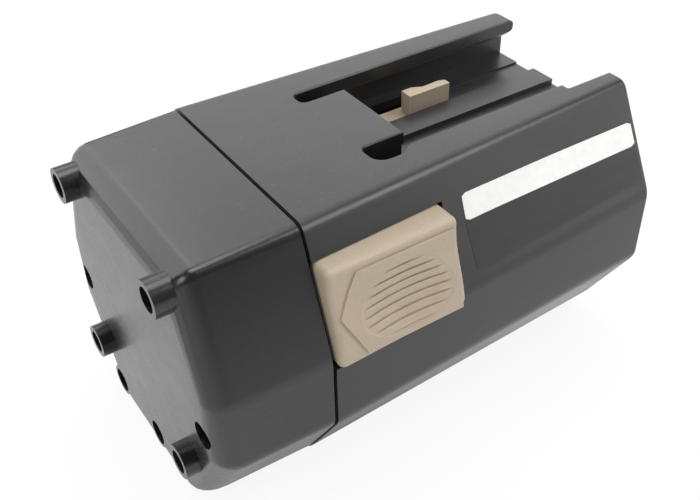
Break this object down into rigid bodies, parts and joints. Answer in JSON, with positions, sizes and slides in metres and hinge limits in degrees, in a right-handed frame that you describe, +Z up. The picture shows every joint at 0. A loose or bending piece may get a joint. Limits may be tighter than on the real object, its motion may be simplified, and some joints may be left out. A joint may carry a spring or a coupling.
{
  "type": "power tool battery pack",
  "caption": "Slide-on rechargeable battery pack for a cordless power tool, with a side release button, a spring-loaded latch hook and a screwed base cap",
  "frame": {"origin": "middle of the flat bottom of the housing, on the floor, halfway between the boss ends and the open end", "axes": "+X along the slide channel towards its open end, +Y away from the release button, +Z up out of the channel"},
  "size_m": [0.129, 0.0822, 0.0742],
  "materials": {
    "case_plastic": "fine satin texture, charcoal",
    "beige_plastic": "satin, warm beige",
    "inner_plastic": "smooth, black",
    "bright_steel": "zinc plated",
    "contact_brass": "bare stamped strip",
    "cell_sleeve": "shrink sleeve",
    "nickel": "bright strip",
    "card": "pressed insulating paper",
    "foam": "closed-cell foam",
    "red_insulation": "flexible insulation",
    "black_insulation": "flexible insulation",
    "white_insulation": "flexible insulation"
  },
  "bodies": {
    "pack": {"main_housing": "case_plastic", "base_cap": "case_plastic", "return_spring": "bright_steel", "latch_keeper": "inner_plastic", "keeper_screws": "bright_steel", "contact_carrier": "inner_plastic", "positive_contact": "contact_brass", "negative_contact": "contact_brass", "sensor_contact": "contact_brass", "cell_01": "cell_sleeve", "cell_02": "cell_sleeve", "cell_03": "cell_sleeve", "cell_04": "cell_sleeve", "cell_05": "cell_sleeve", "cell_06": "cell_sleeve", "cell_07": "cell_sleeve", "cell_08": "cell_sleeve", "cell_09": "cell_sleeve", "cell_10": "cell_sleeve", "cell_links": "nickel", "front_straps": "nickel", "rear_straps": "nickel", "link_spacer": "card", "front_pad": "foam", "rear_pad": "foam", "insulation_board": "card", "temperature_sensor": "inner_plastic", "thermal_cutout": "nickel", "positive_lead": "red_insulation", "negative_lead": "black_insulation", "sensor_lead": "white_insulation", "case_screws": "bright_steel"},
    "latch": {"release_button": "beige_plastic", "latch_slider": "beige_plastic"}
  },
  "joints": [
    {"name": "latch_press", "type": "slide", "parent": "pack", "child": "latch", "axis": [0, 1, 0], "range_m": [0, 0.003], "stiffness_N_per_m": 800, "deforming": ["return_spring"]}
  ]
}
